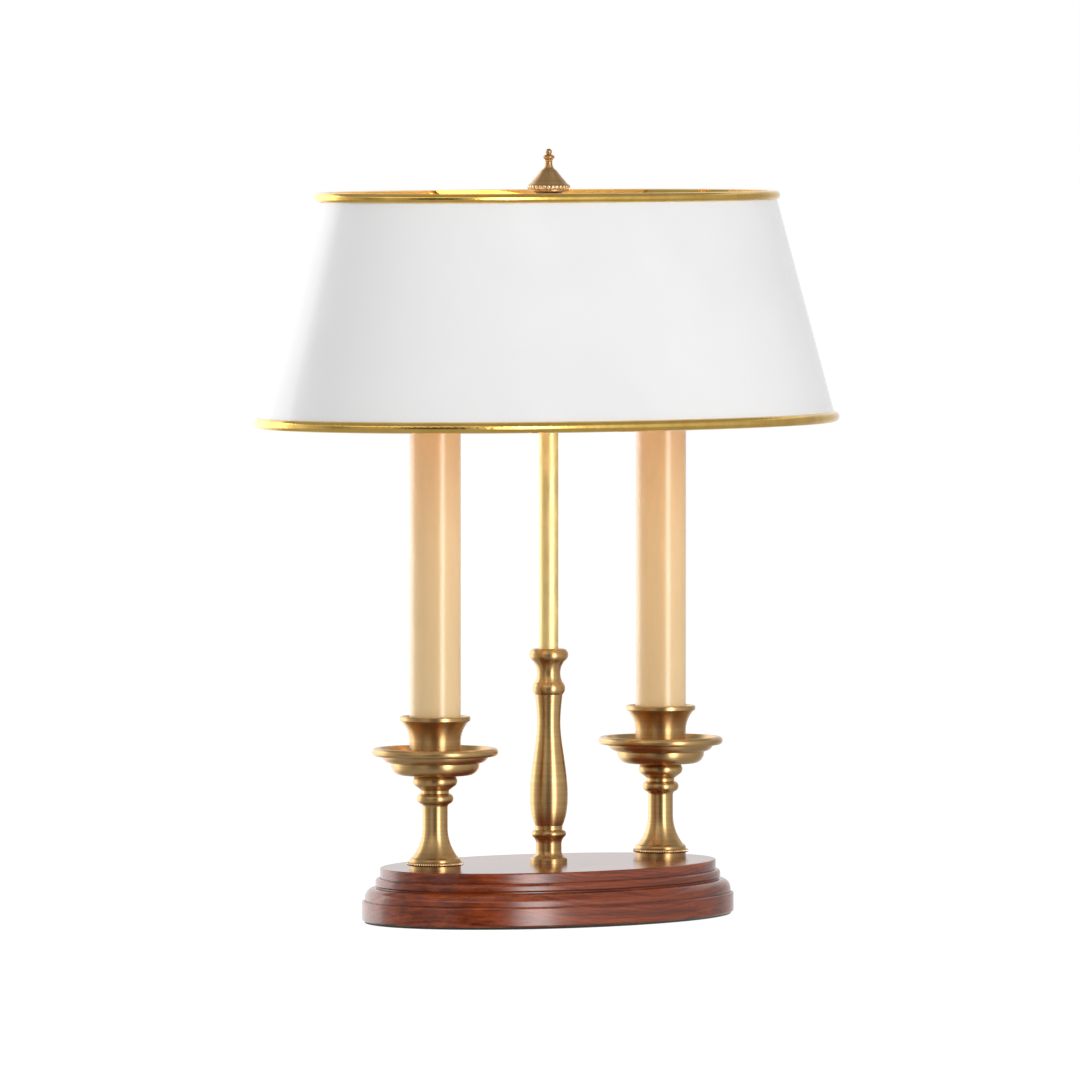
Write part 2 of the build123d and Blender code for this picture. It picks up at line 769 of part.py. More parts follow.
with BuildPart() as baluster:
    z0 = base_top
    z1 = pole_bottom
    foot_edge = baluster_foot_radius - baluster_foot_round
    ring_foot = vase_ring_radius - vase_ring_round
    ring_top = z0 + vase_ring_bottom + vase_ring_height
    vase_bottom = z0 + vase_foot
    vase_top = z1 - vase_drop
    vase_span = vase_top - vase_bottom
    throat_end = throat_radius + throat_flare
    throat_lip = (throat_end + throat_flare, z1 - baluster_collar_drop - quirk)
    collar_foot = baluster_collar_radius - baluster_collar_edge
    collar_cap = baluster_collar_radius - baluster_collar_cap
    with BuildSketch(half_plane()):
        with BuildLine():
            Polyline(
                (rod_hole_radius, z0),
                (baluster_foot_radius, z0),
                (baluster_foot_radius, z0 + baluster_foot_height - baluster_foot_round),
            )
            RadiusArc(
                (baluster_foot_radius, z0 + baluster_foot_height - baluster_foot_round),
                (foot_edge, z0 + baluster_foot_height),
                -baluster_foot_round,
            )
            TangentArc(
                (vase_neck_radius, z0 + vase_neck_bottom),
                (foot_edge, z0 + baluster_foot_height),
                tangent=(0, -1),
            )
            Line((vase_neck_radius, z0 + vase_neck_bottom), (vase_neck_radius, z0 + vase_neck_top))
            TangentArc(
                (vase_neck_radius, z0 + vase_neck_top),
                (ring_foot, z0 + vase_ring_bottom),
                tangent=(0, 1),
            )
            ThreePointArc(
                (ring_foot, z0 + vase_ring_bottom),
                (vase_ring_radius, z0 + vase_ring_bottom + vase_ring_height / 2),
                (ring_foot, ring_top),
            )
            Polyline(
                (ring_foot, ring_top),
                (vase_neck_radius + quirk, ring_top + quirk),
                (vase_neck_radius + quirk, vase_bottom),
            )
            Spline(
                (vase_neck_radius + quirk, vase_bottom),
                (vase_radius, vase_bottom + 0.215 * vase_span),
                (vase_waist_radius, vase_bottom + 0.75 * vase_span),
                (vase_waist_radius + vase_lip, vase_top),
                tangents=[(0.5, 1), (0.12, 1)],
            )
            ThreePointArc(
                (vase_waist_radius + vase_lip, vase_top),
                (throat_ring_radius, z1 - throat_ring_drop),
                (throat_end, z1 - throat_foot_drop),
            )
            ThreePointArc(
                (throat_end, z1 - throat_foot_drop),
                (throat_radius, z1 - throat_drop),
                (throat_end, z1 - throat_top_drop),
            )
            TangentArc((throat_end, z1 - throat_top_drop), throat_lip, tangent=(0.5, 1))
            Line(throat_lip, (collar_foot, z1 - baluster_collar_drop))
            ThreePointArc(
                (collar_foot, z1 - baluster_collar_drop),
                (baluster_collar_radius, z1 - 0.58 * baluster_collar_drop),
                (collar_cap, z1),
            )
            Polyline((collar_cap, z1), (rod_hole_radius, z1), (rod_hole_radius, z0))
        make_face()
    lathe()
keep(baluster, "baluster")

round_tube("pole", 0, pole_radius, pole_radius - pole_wall, pole_bottom, pole_length)

with BuildPart() as pole_plug:
    with BuildSketch(half_plane()):
        spigot = pole_radius - pole_wall - fit_gap
        Polygon(
            (0, pole_top - plug_spigot),
            (spigot, pole_top - plug_spigot),
            (spigot, pole_top),
            (plug_seat_radius, pole_top),
            (plug_seat_radius, seat_top),
            (stud_radius, seat_top),
            (stud_radius, hub_top + stud_reach),
            (0, hub_top + stud_reach),
            align=None,
        )
    lathe()
keep(pole_plug, "pole_plug")


# ================================================================ shade
def sheet_half_axes(z, inset=0.0):
    """Half length and half width of the sheet's outer face at height z."""
    out = taper * (shade_top - z) - inset
    return shade_top_length / 2 + out, shade_top_width / 2 + out


def leaning_plane(half_length, z):
    """Plane across the sheet at its end: x points out of its face and y up along it."""
    return Plane((half_length, 0, z), x_dir=(slant.Z, 0, -slant.X), z_dir=(0, -1, 0))


with BuildPart() as shade_shell:
    for inset, mode in ((0, Mode.ADD), (sheet_across, Mode.SUBTRACT)):
        for z in (shade_bottom, shade_top):
            with BuildSketch(Plane.XY.offset(z)):
                Ellipse(*sheet_half_axes(z, inset))
        loft(ruled=True, mode=mode)
keep(shade_shell, "shade_shell")


def trim(name, z, height, up):
    """Rolled moulding with a slot for the sheet's edge; up is 1 when the sheet rises from it."""
    half_length, half_width = sheet_half_axes(z, sheet_across / 2)
    half_slot = shade_sheet / 2 + trim_gap
    cap = -up * trim_cap
    far = up * (height - trim_cap)
    lip = up * (trim_lip_height - trim_cap)
    slot_floor = -up * (trim_gap + sheet_across / 2 * taper)
    with BuildPart() as moulding_piece:
        with BuildLine() as edge_line:
            EllipticalCenterArc((0, 0, z), half_length, half_width, start_angle=0, arc_size=360)
        with BuildSketch(leaning_plane(half_length, z)):
            with BuildLine():
                ThreePointArc(
                    (half_slot, cap), (half_slot + trim_reach, (cap + far) / 2), (half_slot, far)
                )
                Polyline(
                    (half_slot, far),
                    (half_slot, slot_floor),
                    (-half_slot, slot_floor),
                    (-half_slot, lip),
                    (-half_slot - trim_lip, lip),
                    (-half_slot - trim_lip, cap),
                    (half_slot, cap),
                )
            make_face()
        sweep(path=edge_line.wire())
    keep(moulding_piece, name)


trim("top_trim", shade_top, top_trim_height, -1)
trim("bottom_trim", shade_bottom, bottom_trim_height, 1)

arm_height = hub_top - hub_thickness / 2
ring_inset = sheet_across + (ring_gap + ring_thickness / 2) / slant.Z
ring_half_length, ring_half_width = sheet_half_axes(arm_height, ring_inset)

with BuildPart() as shade_ring:
    with BuildLine() as ring_line:
        ring_centre = (0, 0, arm_height)
        EllipticalCenterArc(
            ring_centre, ring_half_length, ring_half_width, start_angle=0, arc_size=360
        )
    with BuildSketch(leaning_plane(ring_half_length, arm_height)):
        Rectangle(ring_thickness, ring_height)
    sweep(path=ring_line.wire())
keep(shade_ring, "shade_ring")

with BuildPart() as spider:
    with BuildSketch(Plane.XY.offset(seat_top)):
        Circle(hub_radius)
    extrude(amount=hub_thickness)
    # the ring leans inwards, so the arms stop where their upper edge reaches it
    arm_inset = ring_thickness / 2 / slant.Z + arm_radius * taper + fit_gap
    for plane, reach in ((Plane.YZ, ring_half_length), (Plane.XZ, ring_half_width)):
        with BuildSketch(plane.offset(arm_inset - reach)):
            with Locations((0, arm_height)):
                Circle(arm_radius)
        extrude(amount=2 * (reach - arm_inset))
    with BuildSketch(Plane.XY.offset(seat_top)):
        Circle(stud_radius + turn_gap)
    extrude(amount=hub_thickness, mode=Mode.SUBTRACT)
keep(spider, "spider")

# ================================================================ finial
finial_bottom = hub_top + turn_gap

insert_hole = stud_radius + fit_gap
round_tube("finial_insert", 0, insert_radius, insert_hole, finial_bottom, insert_height)

with BuildPart() as finial:
    z0 = finial_bottom
    rim_top = z0 + skirt_bottom + skirt_rim_height
    hole = insert_radius + fit_gap
    hole_top = z0 + insert_height + fit_gap
    collar_middle = z0 + (finial_collar_bottom + finial_collar_top) / 2
    tip = z0 + finial_height
    tip_foot = (0.8 * tip_radius, tip - 1.6 * tip_radius)
    with BuildSketch(half_plane()):
        with BuildLine():
            Polyline(
                (0, hole_top),
                (hole, hole_top),
                (hole, z0),
                (finial_base_radius, z0),
                (finial_base_radius, z0 + finial_base_height),
            )
            TangentArc(
                (finial_base_radius, z0 + finial_base_height),
                (skirt_rim_radius, z0 + skirt_bottom),
                tangent=(0.3, 1),
            )
            Line((skirt_rim_radius, z0 + skirt_bottom), (skirt_rim_radius, rim_top))
            ThreePointArc(
                (skirt_rim_radius, rim_top),
                (skirt_radius, (rim_top + z0 + skirt_top) / 2),
                (bell_foot_radius, z0 + skirt_top),
            )
            Spline(
                (bell_foot_radius, z0 + skirt_top),
                (bell_middle_radius, z0 + bell_middle),
                (bell_shoulder_radius, z0 + bell_shoulder),
                (neck_foot_radius, z0 + neck_foot),
                tangents=[(-1, 0.7), (-1, 0.6)],
            )
            ThreePointArc(
                (neck_foot_radius, z0 + neck_foot),
                (neck_radius_top, z0 + neck_middle),
                (neck_radius_top + 0.2, z0 + finial_collar_bottom),
            )
            Line(
                (neck_radius_top + 0.2, z0 + finial_collar_bottom),
                (finial_collar_radius - 0.3, collar_middle - 0.8),
            )
            ThreePointArc(
                (finial_collar_radius - 0.3, collar_middle - 0.8),
                (finial_collar_radius, collar_middle),
                (finial_collar_radius - 0.3, collar_middle + 0.8),
            )
            Polyline(
                (finial_collar_radius - 0.3, collar_middle + 0.8),
                (tip_foot[0], z0 + finial_collar_top),
                tip_foot,
            )
            ThreePointArc(tip_foot, (tip_radius, tip - tip_radius), (0, tip))
            Line((0, tip), (0, hole_top))
        make_face()
    lathe()
keep(finial, "finial")

# ================================================================ switch and cord bushing
with BuildPart() as switch_body:
    with BuildSketch(switch_plane.offset(-switch_wall)):
        Rectangle(switch_width, switch_height)
    extrude(amount=-switch_depth)
    with BuildSketch(switch_plane.offset(-switch_wall)):
        Circle(switch_thread_radius)
    extrude(amount=switch_wall + switch_thread_reach)
    with BuildSketch(switch_plane.offset(switch_thread_reach)):
        Circle(shaft_pin_radius + fit_gap)
    extrude(amount=-switch_wall - switch_thread_reach - switch_depth / 2, mode=Mode.SUBTRACT)
keep(switch_body, "switch_body")

with BuildPart() as switch_nut:
    with BuildSketch(switch_plane):
        Circle(switch_nut_radius)
        Circle(switch_thread_radius + fit_gap, mode=Mode.SUBTRACT)
    extrude(amount=switch_nut_thickness)
    outer_face = switch_nut.faces().sort_by(Axis(switch_plane.origin, switch_plane.z_dir))[-1]
    chamfer(outer_face.outer_wire().edges(), switch_nut_chamfer)
keep(switch_nut, "switch_nut")

with BuildPart() as switch_shaft:
    with BuildSketch(switch_plane.offset(switch_thread_reach + shaft_pin_reach)):
        Circle(shaft_pin_radius)
    extrude(amount=-switch_wall - switch_thread_reach - shaft_pin_reach - switch_depth / 2 + turn_gap)
keep(switch_shaft, "switch_shaft")

with BuildPart() as switch_knob:
    with BuildSketch(switch_plane.offset(knob_standoff)):
        Circle(knob_radius)
        with PolarLocations(knob_radius + knob_flute_radius / 2, knob_flutes):
            Circle(knob_flute_radius, mode=Mode.SUBTRACT)
    extrude(amount=knob_length)
    with BuildSketch(switch_plane.offset(knob_standoff)):
        Circle(shaft_pin_radius + fit_gap)
    extrude(amount=switch_thread_reach + shaft_pin_reach - knob_standoff + fit_gap, mode=Mode.SUBTRACT)
keep(switch_knob, "switch_knob")

with BuildPart() as cord_bushing:
    with BuildSketch(cord_plane):
        Circle(bushing_flange_radius)
    extrude(amount=bushing_flange_thickness)
    with BuildSketch(cord_plane):
        Circle(bushing_radius)
    extrude(amount=-cord_wall)
    with BuildSketch(cord_plane.offset(bushing_flange_thickness)):
        Circle(cord_bore_radius)
    extrude(amount=-bushing_flange_thickness - cord_wall, mode=Mode.SUBTRACT)
keep(cord_bushing, "cord_bushing")
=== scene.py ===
"""Looks of the oval table lamp with two candlesticks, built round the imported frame."""
import math

import bmesh
import bpy
from mathutils import Matrix, Vector

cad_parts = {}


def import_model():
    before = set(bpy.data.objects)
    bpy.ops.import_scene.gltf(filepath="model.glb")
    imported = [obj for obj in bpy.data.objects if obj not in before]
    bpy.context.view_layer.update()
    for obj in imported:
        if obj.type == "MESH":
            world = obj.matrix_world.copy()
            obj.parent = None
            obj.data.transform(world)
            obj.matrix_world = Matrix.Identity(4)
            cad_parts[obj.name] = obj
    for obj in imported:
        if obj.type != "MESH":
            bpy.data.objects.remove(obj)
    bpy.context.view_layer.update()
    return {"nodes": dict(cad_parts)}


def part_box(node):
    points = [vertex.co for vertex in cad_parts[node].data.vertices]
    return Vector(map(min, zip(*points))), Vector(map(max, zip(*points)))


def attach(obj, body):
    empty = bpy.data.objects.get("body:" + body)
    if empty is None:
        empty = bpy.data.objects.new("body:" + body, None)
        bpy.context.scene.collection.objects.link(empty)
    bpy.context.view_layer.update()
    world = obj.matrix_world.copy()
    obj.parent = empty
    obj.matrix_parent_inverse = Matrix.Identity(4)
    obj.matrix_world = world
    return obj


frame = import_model()
nodes = frame["nodes"]
SIDES = ("left", "right")

MM = 0.001


# ---------------------------------------------------------------- places read from the frame
def axis_x(node):
    """X of a round node's own axis."""
    low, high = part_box(node)
    return (low.x + high.x) / 2


AXIS_X = {"left": axis_x("left_candlestick"), "right": axis_x("right_candlestick"), "centre": 0.0}
BASE_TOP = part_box("wood_base")[1].z


# ---------------------------------------------------------------- node helpers
class Tree:
    """Short ways to add nodes to a material or the world."""

    def __init__(self, owner):
        owner.use_nodes = True
        self.tree = owner.node_tree
        self.tree.nodes.clear()

    def node(self, kind, **settings):
        made = self.tree.nodes.new("ShaderNode" + kind)
        for name, value in settings.items():
            setattr(made, name, value)
        return made

    def link(self, source, target):
        self.tree.links.new(source, target)

    def put(self, value, socket):
        """Links an output to the socket, or sets the socket's own value."""
        if isinstance(value, bpy.types.NodeSocket):
            self.link(value, socket)
        else:
            socket.default_value = value

    def maths(self, operation, a, b=0.0, clamp=False):
        made = self.node("Math", operation=operation, use_clamp=clamp)
        self.put(a, made.inputs[0])
        self.put(b, made.inputs[1])
        return made.outputs[0]

    def blend(self, a, b, share):
        """Weighted mean of two values; the share is the first one's."""
        part = self.maths("MULTIPLY", a, share)
        return self.maths("ADD", part, self.maths("MULTIPLY", b, 1.0 - share))

    def point(self):
        return self.node("TexCoord").outputs["Object"]

    def split(self, vector):
        made = self.node("SeparateXYZ")
        self.link(vector, made.inputs[0])
        return made.outputs

    def join(self, x, y, z):
        made = self.node("CombineXYZ")
        for value, socket in zip((x, y, z), made.inputs):
            self.put(value, socket)
        return made.outputs[0]

    def scaled(self, vector, factors):
        made = self.node("Mapping")
        self.link(vector, made.inputs["Vector"])
        made.inputs["Scale"].default_value = factors
        return made.outputs[0]

    def length(self, vector):
        made = self.node("VectorMath", operation="LENGTH")
        self.link(vector, made.inputs[0])
        return made.outputs["Value"]

    def noise(self, vector, scale, detail=3.0, roughness=0.5, distortion=0.0):
        made = self.node("TexNoise")
        self.link(vector, made.inputs["Vector"])
        made.inputs["Scale"].default_value = scale
        made.inputs["Detail"].default_value = detail
        made.inputs["Roughness"].default_value = roughness
        made.inputs["Distortion"].default_value = distortion
        return made.outputs["Fac"]

    def ramp(self, value, *stops):
        """Colour ramp; each stop is a position and a colour or a grey level."""
        made = self.node("ValToRGB")
        elements = made.color_ramp.elements
        while len(elements) < len(stops):
            elements.new(0.5)
        for element, (place, colour) in zip(elements, stops):
            element.position = place
            element.color = rgba(colour)
        self.put(value, made.inputs[0])
        return made.outputs[0]

    def span(self, value, low, high, to_low=0.0, to_high=1.0):
        """Maps a range to another, clamped."""
        made = self.node("MapRange")
        for number, socket in zip((low, high, to_low, to_high), made.inputs[1:5]):
            socket.default_value = number
        self.link(value, made.inputs[0])
        return made.outputs[0]

    def mix(self, factor, a, b):
        """Mixes two colours or grey levels; sockets 6, 7 and 2 are the node's colour ones."""
        made = self.node("Mix", data_type="RGBA")
        self.put(factor, made.inputs[0])
        for value, socket in ((a, made.inputs[6]), (b, made.inputs[7])):
            self.put(value if isinstance(value, bpy.types.NodeSocket) else rgba(value), socket)
        return made.outputs[2]

    def bump(self, height, strength, distance):
        made = self.node("Bump")
        made.inputs["Strength"].default_value = strength
        made.inputs["Distance"].default_value = distance
        self.link(height, made.inputs["Height"])
        return made.outputs[0]

    def shown(self, rays):
        """1 for the rays that show the background: the camera's, mirrored and transmitted ones."""
        seen = self.maths("ADD", rays["Is Camera Ray"], rays["Is Glossy Ray"], clamp=True)
        return self.maths("ADD", seen, rays["Is Transmission Ray"], clamp=True)

    def surface(self, **values):
        """Principled shader and the output; a name is a socket's name with _ for a space."""
        shader = self.node("BsdfPrincipled")
        for name, value in values.items():
            self.put(value, shader.inputs[name.replace("_", " ")])
        self.link(shader.outputs[0], self.node("OutputMaterial").inputs[0])


def rgba(colour):
    """RGBA tuple from a grey level or a linear RGB colour."""
    return (colour,) * 3 + (1.0,) if isinstance(colour, (int, float)) else tuple(colour) + (1.0,)


def srgb(red, green, blue):
    """Linear colour from 0-255 display values."""
    values = (red / 255, green / 255, blue / 255)
    return tuple(v / 12.92 if v <= 0.04045 else ((v + 0.055) / 1.055) ** 2.4 for v in values)


def new_tree(name):
    material = bpy.data.materials.new(name)
    return material, Tree(material)


# ---------------------------------------------------------------- materials
def turned_brass(name, centre, colour, deep, roughness, ring_strength, anisotropic):
    """Brass turned on a lathe: fine rings about its axis, which stretch its highlights upwards."""
    material, t = new_tree(name)
    x, y, z = t.split(t.point())
    radius = t.length(t.join(t.maths("SUBTRACT", x, centre), y, 0.0))
    along = t.join(radius, 0.0, z)
    fine = t.noise(along, scale=3600.0, detail=3.0, roughness=0.65)
    wide = t.noise(along, scale=620.0, detail=2.0)
    rings = t.blend(fine, wide, 0.6)
    cloud = t.noise(t.point(), scale=38.0, detail=4.0, roughness=0.6)
    tone = t.blend(rings, cloud, 0.75)
    t.surface(
        Base_Color=t.mix(t.span(tone, 0.38, 0.62), deep, colour),
        Metallic=1.0,
        Roughness=t.span(tone, 0.35, 0.65, roughness * 1.15, roughness * 0.88),
        Anisotropic=anisotropic,
        Anisotropic_Rotation=0.25,
        Normal=t.bump(rings, ring_strength, distance=0.00003),
        Tangent=t.node("Tangent", direction_type="RADIAL", axis="Z").outputs[0],
    )
    return material


def polished_brass(name, colour, deep, roughness, scratches=0.05):
    """Polished metal with faint clouding and hairline scratches."""
    material, t = new_tree(name)
    cloud = t.noise(t.point(), scale=60.0, detail=4.0, roughness=0.6)
    hair = t.noise(t.scaled(t.point(), (1.0, 1.0, 0.06)), scale=2600.0, detail=2.0)
    t.surface(
        Base_Color=t.mix(t.span(cloud, 0.35, 0.7), deep, colour),
        Metallic=1.0,
        Roughness=t.span(cloud, 0.3, 0.7, roughness * 0.8, roughness * 1.3),
        Normal=t.bump(hair, scratches, distance=0.00002),
    )
    return material


def mahogany():
    """Lacquered mahogany sawn along X: growth rings round a distant heart, dark streaks, pores."""
    material, t = new_tree("mahogany")
    place = t.point()
    _, y, z = t.split(place)
    heart_y, heart_z = -0.03, -0.2
    from_heart = t.join(0.0, t.maths("SUBTRACT", y, heart_y), t.maths("SUBTRACT", z, heart_z))
    sway = t.noise(t.scaled(place, (8.0, 5.0, 5.0)), scale=1.0, detail=2.0)
    sway_reach, ring_scale = 0.022, 560.0
    radius = t.maths("ADD", t.length(from_heart), t.maths("MULTIPLY", sway, sway_reach))
    rings = t.join(0.0, t.maths("MULTIPLY", radius, ring_scale), 0.0)
    layers = t.noise(rings, scale=1.0, detail=4.0, roughness=0.6)
    lengthwise = t.scaled(place, (6.0, 110.0, 300.0))
    streaks = t.noise(lengthwise, scale=1.0, detail=5.0, roughness=0.6, distortion=0.3)
    broad = t.noise(t.scaled(place, (6.0, 30.0, 60.0)), scale=1.0, detail=2.0)
    pores = t.noise(t.scaled(place, (90.0, 900.0, 2600.0)), scale=1.0, detail=2.0, roughness=0.6)
    figure = t.blend(layers, streaks, 0.5)
    ground = t.ramp(figure, (0.35, srgb(58, 20, 9)), (0.43, srgb(106, 42, 16)),
                    (0.52, srgb(142, 60, 21)), (0.66, srgb(172, 80, 30)))
    shaded = t.mix(t.span(broad, 0.45, 0.66, 0.0, 0.4), ground, srgb(80, 28, 12))
    colour = t.mix(t.span(pores, 0.57, 0.70, 0.0, 0.5), shaded, srgb(40, 14, 7))
    t.surface(
        Base_Color=colour,
        Roughness=0.5,
        Specular_IOR_Level=0.0,
        Coat_Weight=1.0,
        Coat_Roughness=0.16,
        Coat_IOR=1.6,
        Normal=t.bump(pores, strength=0.12, distance=0.00005),
    )
    return material


def enamel():
    """Glossy white enamel with a faint orange peel."""
    material, t = new_tree("white_enamel")
    peel = t.noise(t.point(), scale=260.0, detail=2.0)
    soft = t.noise(t.point(), scale=9.0, detail=2.0)
    t.surface(
        Base_Color=t.mix(t.span(soft, 0.4, 0.6), srgb(240, 240, 241), srgb(244, 244, 244)),
        Roughness=0.5,
        Specular_IOR_Level=0.0,
        Coat_Weight=1.0,
        Coat_Roughness=0.11,
        Normal=t.bump(peel, strength=0.08, distance=0.0001),
    )
    return material


def ivory():
    """Candle sleeve of ivory plastic, painted warmer and more orange towards its top as a painted
    glow of the lit bulbs above it.
    """
    material, t = new_tree("ivory_sleeve")
    z = t.split(t.point())[2]
    low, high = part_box("left_candle_tube")
    rise = t.span(z, low.z, high.z)
    # ivory below; towards the top the ramp paints the bulbs' warm glow into the colour
    ivory_and_painted_glow = t.ramp(rise, (0.0, srgb(242, 208, 154)), (0.55, srgb(247, 205, 151)),
                  (0.95, srgb(250, 198, 142)))
    mottle = t.noise(t.scaled(t.point(), (1.0, 1.0, 0.25)), scale=130.0, detail=4.0, roughness=0.6)
    t.surface(
        Base_Color=t.mix(t.span(mottle, 0.35, 0.7, 0.0, 0.18), ivory_and_painted_glow, srgb(222, 186, 134)),
        Roughness=t.span(mottle, 0.3, 0.7, 0.36, 0.48),
        Subsurface_Weight=0.12,
        Subsurface_Radius=(0.006, 0.003, 0.0015),
        Subsurface_Scale=1.0,
        Coat_Weight=1.0,
        Coat_Roughness=0.13,
        Normal=t.bump(mottle, strength=0.05, distance=0.0002),
    )
    return material


def felt():
    """Dark green felt with matted fibres."""
    material, t = new_tree("felt")
    stretched = t.scaled(t.point(), (1.0, 3.0, 3.0))
    fibres = t.noise(stretched, scale=900.0, detail=5.0, roughness=0.7, distortion=1.5)
    t.surface(
        Base_Color=t.mix(t.span(fibres, 0.35, 0.65), srgb(20, 44, 28), srgb(46, 78, 52)),
        Roughness=0.95,
        Sheen_Weight=0.5,
        Sheen_Roughness=0.6,
        Normal=t.bump(fibres, strength=0.6, distance=0.0006),
    )
    return material


def plated_steel():
    """Zinc-plated steel with a slight blue-yellow cast."""
    material, t = new_tree("plated_steel")
    cloud = t.noise(t.point(), scale=180.0, detail=4.0, roughness=0.6)
    t.surface(
        Base_Color=t.mix(cloud, srgb(170, 170, 176), srgb(196, 190, 170)),
        Metallic=1.0,
        Roughness=t.span(cloud, 0.3, 0.7, 0.28, 0.42),
        Normal=t.bump(cloud, strength=0.1, distance=0.00005),
    )
    return material


def bakelite():
    """Dark moulded plastic."""
    material, t = new_tree("phenolic")
    speck = t.noise(t.point(), scale=700.0, detail=3.0)
    t.surface(
        Base_Color=t.mix(t.span(speck, 0.4, 0.7), srgb(30, 24, 20), srgb(52, 42, 34)),
        Roughness=t.span(speck, 0.3, 0.7, 0.3, 0.45),
        Normal=t.bump(speck, strength=0.1, distance=0.0001),
    )
    return material


def vinyl():
    """Brown lamp wire with the faint lengthwise marks of its extrusion."""
    material, t = new_tree("wire_jacket")
    marks = t.noise(t.scaled(t.point(), (400.0, 400.0, 40.0)), scale=1.0, detail=3.0)
    t.surface(
        Base_Color=t.mix(t.span(marks, 0.35, 0.65), srgb(70, 48, 32), srgb(98, 70, 48)),
        Roughness=t.span(marks, 0.3, 0.7, 0.38, 0.52),
        Normal=t.bump(marks, strength=0.1, distance=0.0001),
    )
    return material


BULB_GLOW = 8.0


def lit_glass():
    """Frosted bulb glass, lit from inside."""
    material, t = new_tree("frosted_glass")
    frost = t.noise(t.point(), scale=900.0, detail=3.0)
    t.surface(
        Base_Color=rgba(srgb(255, 244, 226)),
        Roughness=t.span(frost, 0.3, 0.7, 0.4, 0.55),
        Emission_Color=rgba(srgb(255, 196, 128)),
        Emission_Strength=BULB_GLOW,
        Normal=t.bump(frost, strength=0.1, distance=0.00005),
    )
    return material


ANTIQUE = {
    key: turned_brass(f"antique_brass_{key}", x, srgb(210, 174, 120), srgb(184, 146, 96),
                      roughness=0.30, ring_strength=0.3, anisotropic=0.82)
    for key, x in AXIS_X.items()
}
POLE_BRASS = polished_brass("pole_brass", srgb(252, 232, 172), srgb(244, 220, 154), roughness=0.5)
INNER_BRASS = polished_brass("inner_brass", srgb(222, 186, 116), srgb(190, 150, 90), roughness=0.25)
GILT = polished_brass("gilt_trim", srgb(240, 201, 112), srgb(224, 181, 92),
                      roughness=0.03, scratches=0.0)
FINIAL_BRASS = turned_brass("finial_brass", 0.0, srgb(206, 170, 120), srgb(172, 134, 88),
                            roughness=0.42, ring_strength=0.2, anisotropic=0.6)
# a much paler copy of the brass for the beads: a painted highlight, so that the small beads read
# bright
PAINTED_HIGHLIGHT_BRASS = polished_brass("bead_brass_painted_highlight", srgb(252, 232, 196), srgb(242, 214, 168), roughness=0.2)
STEEL = plated_steel()
PHENOLIC = bakelite()
WIRE_JACKET = vinyl()


def dress(material, *names):
    """Gives CAD nodes a material."""
    for name in names:
        mesh = nodes[name].data
        mesh.materials.clear()
        mesh.materials.append(material)


def both(*names):
    return [f"{side}_{name}" for side in SIDES for name in names]


dress(mahogany(), "wood_base")
dress(felt(), "felt_pad")
dress(enamel(), "shade_shell")
dress(GILT, "top_trim", "bottom_trim")
dress(ivory(), *both("candle_tube"))
dress(lit_glass(), *both("bulb_glass"))
dress(POLE_BRASS, "pole", "pole_plug")
dress(INNER_BRASS, "shade_ring", "spider", "switch_nut", "switch_shaft", "switch_knob")
dress(INNER_BRASS, *both("socket_cap", "screw_shell", "centre_contact"))
dress(STEEL, *[f"{key}_{name}" for key in AXIS_X for name in ("rod", "washer", "nut")])
dress(STEEL, *both("cup_nut", "bulb_base"), "finial_insert")
dress(PHENOLIC, *both("socket_body", "connector"), "switch_body", "cord_bushing")
dress(WIRE_JACKET, *both("lead"))
dress(FINIAL_BRASS, "finial")
dress(ANTIQUE["centre"], "baluster")
for side in SIDES:
    dress(ANTIQUE[side], *[f"{side}_{name}" for name in ("candlestick", "drip_pan", "candle_cup")])


# ---------------------------------------------------------------- modelled details
def bead_ring(name, body, material, centre, z, radius, count, half_sizes):
    """Ring of beads round a vertical axis; half sizes are across, outwards and up."""
    form = bmesh.new()
    across, outwards, upwards = half_sizes
    for step in range(count):
        angle = 2.0 * math.pi * step / count
        place = (
            Matrix.Translation((centre + radius * math.cos(angle), radius * math.sin(angle), z))
            @ Matrix.Rotation(angle, 4, "Z")
            @ Matrix.Diagonal((outwards, across, upwards, 1.0))
        )
        bmesh.ops.create_uvsphere(form, u_segments=12, v_segments=8, radius=1.0, matrix=place)
    mesh = bpy.data.meshes.new(name)
    form.to_mesh(mesh)
    form.free()
    for face in mesh.polygons:
        face.use_smooth = True
    mesh.materials.append(material)
    made = bpy.data.objects.new(name, mesh)
    bpy.context.scene.collection.objects.link(made)
    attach(made, body)


STICK_BEADS = 74
STICK_BEAD_RING = 17.72 * MM
STICK_BEAD_HEIGHT = 4.0 * MM  # above the base
STICK_BEAD = (0.42 * MM, 0.95 * MM, 1.0 * MM)
for side in SIDES:
    bead_ring(f"{side}_foot_beads", "stand", PAINTED_HIGHLIGHT_BRASS, AXIS_X[side],
              BASE_TOP + STICK_BEAD_HEIGHT, STICK_BEAD_RING, STICK_BEADS, STICK_BEAD)

SKIRT_BEADS = 30
SKIRT_BEAD_RING = 13.45 * MM
SKIRT_BEAD_HEIGHT = 7.9 * MM  # above the finial's foot
SKIRT_BEAD = (1.22 * MM, 0.85 * MM, 1.45 * MM)
bead_ring("finial_beads", "finial", PAINTED_HIGHLIGHT_BRASS, 0.0,
          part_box("finial")[0].z + SKIRT_BEAD_HEIGHT, SKIRT_BEAD_RING, SKIRT_BEADS, SKIRT_BEAD)


# ---------------------------------------------------------------- studio
VIEW_AZIMUTH = math.radians(-42.0)
TOWARD_CAMERA = Vector((math.sin(VIEW_AZIMUTH), -math.cos(VIEW_AZIMUTH), 0.0))
TO_RIGHT = Vector((math.cos(VIEW_AZIMUTH), math.sin(VIEW_AZIMUTH), 0.0))
CAMERA_DISTANCE = 8.0
CAMERA_HEIGHT = 0.575
AIM_HEIGHT = 0.250
AIM_LEFT = 0.0058
LENS = 403.4
SENSOR = 36.0

